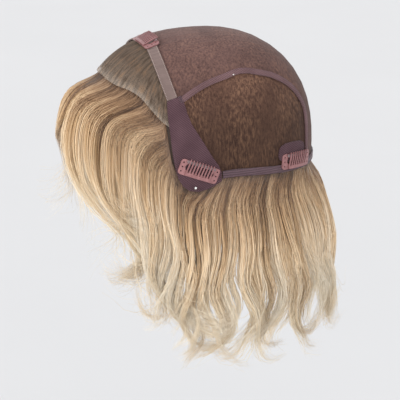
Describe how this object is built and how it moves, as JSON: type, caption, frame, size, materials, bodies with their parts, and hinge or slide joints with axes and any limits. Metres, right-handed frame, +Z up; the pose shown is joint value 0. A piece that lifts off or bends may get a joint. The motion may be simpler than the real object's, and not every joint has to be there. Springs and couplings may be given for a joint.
{
  "type": "hair topper",
  "caption": "Clip-in hair topper worn over a head, shown inside out: mesh and lace cap with snap clips facing out, and wavy blonde hair falling from its opening",
  "frame": {"origin": "top of the head hollow on the midline, where the cap sits on a head", "axes": "+Z up; the wearer faces -Y; +X is the wearer's left"},
  "size_m": [0.1919, 0.2328, 0.2646],
  "materials": {
    "lace": "sheer lace, matte",
    "band_tape": "translucent woven tape",
    "mesh_cloth": "dotted stretch mesh, matte",
    "weft_cloth": "mesh with hair wefts, matte",
    "seam_tape": "ribbed tape, matte",
    "tab_knit": "ribbed knit, matte",
    "rim_satin": "satin elastic",
    "clip_paint": "semi-gloss enamel",
    "grip_silicone": "translucent silicone",
    "stud_metal": "polished",
    "hair_fibre": "silky fibre"
  },
  "bodies": {
    "cap": {"lace_front": "lace", "front_band": "band_tape", "crown_panel": "mesh_cloth", "side_panel_left": "weft_cloth", "side_panel_right": "weft_cloth", "ear_tab_left": "tab_knit", "ear_tab_right": "tab_knit", "seam_tape_left": "seam_tape", "seam_tape_right": "seam_tape", "rim_band": "rim_satin", "clip_patch_left": "tab_knit", "clip_patch_right": "tab_knit", "tab_stud_left": "stud_metal", "tab_stud_right": "stud_metal", "hair": "hair_fibre", "clip_front_frame": "clip_paint", "clip_front_grip": "grip_silicone", "clip_side_left_frame": "clip_paint", "clip_side_left_grip": "grip_silicone", "clip_side_right_frame": "clip_paint", "clip_side_right_grip": "grip_silicone", "clip_back_left_frame": "clip_paint", "clip_back_left_grip": "grip_silicone", "clip_back_right_frame": "clip_paint", "clip_back_right_grip": "grip_silicone"},
    "comb_front": {"clip_front_comb": "clip_paint"},
    "comb_side_left": {"clip_side_left_comb": "clip_paint"},
    "comb_side_right": {"clip_side_right_comb": "clip_paint"},
    "comb_back_left": {"clip_back_left_comb": "clip_paint"},
    "comb_back_right": {"clip_back_right_comb": "clip_paint"}
  },
  "joints": [
    {"name": "comb_front_hinge", "type": "hinge", "parent": "cap", "child": "comb_front", "pos_m": [0.00459, -0.05003, -0.00131], "axis": [0.9991, 0.0377, -0.0169], "range_deg": [0, 30]},
    {"name": "comb_side_left_hinge", "type": "hinge", "parent": "cap", "child": "comb_side_left", "pos_m": [0.07352, -0.02545, -0.09583], "axis": [0.0924, 0.929, -0.3584], "range_deg": [0, 30]},
    {"name": "comb_side_right_hinge", "type": "hinge", "parent": "cap", "child": "comb_side_right", "pos_m": [-0.07352, -0.02545, -0.09583], "axis": [0.0924, -0.929, 0.3584], "range_deg": [0, 30]},
    {"name": "comb_back_left_hinge", "type": "hinge", "parent": "cap", "child": "comb_back_left", "pos_m": [0.06178, 0.06291, -0.09918], "axis": [-0.4914, 0.8677, -0.075], "range_deg": [0, 30]},
    {"name": "comb_back_right_hinge", "type": "hinge", "parent": "cap", "child": "comb_back_right", "pos_m": [-0.06178, 0.06291, -0.09918], "axis": [-0.4914, -0.8677, 0.075], "range_deg": [0, 30]}
  ]
}
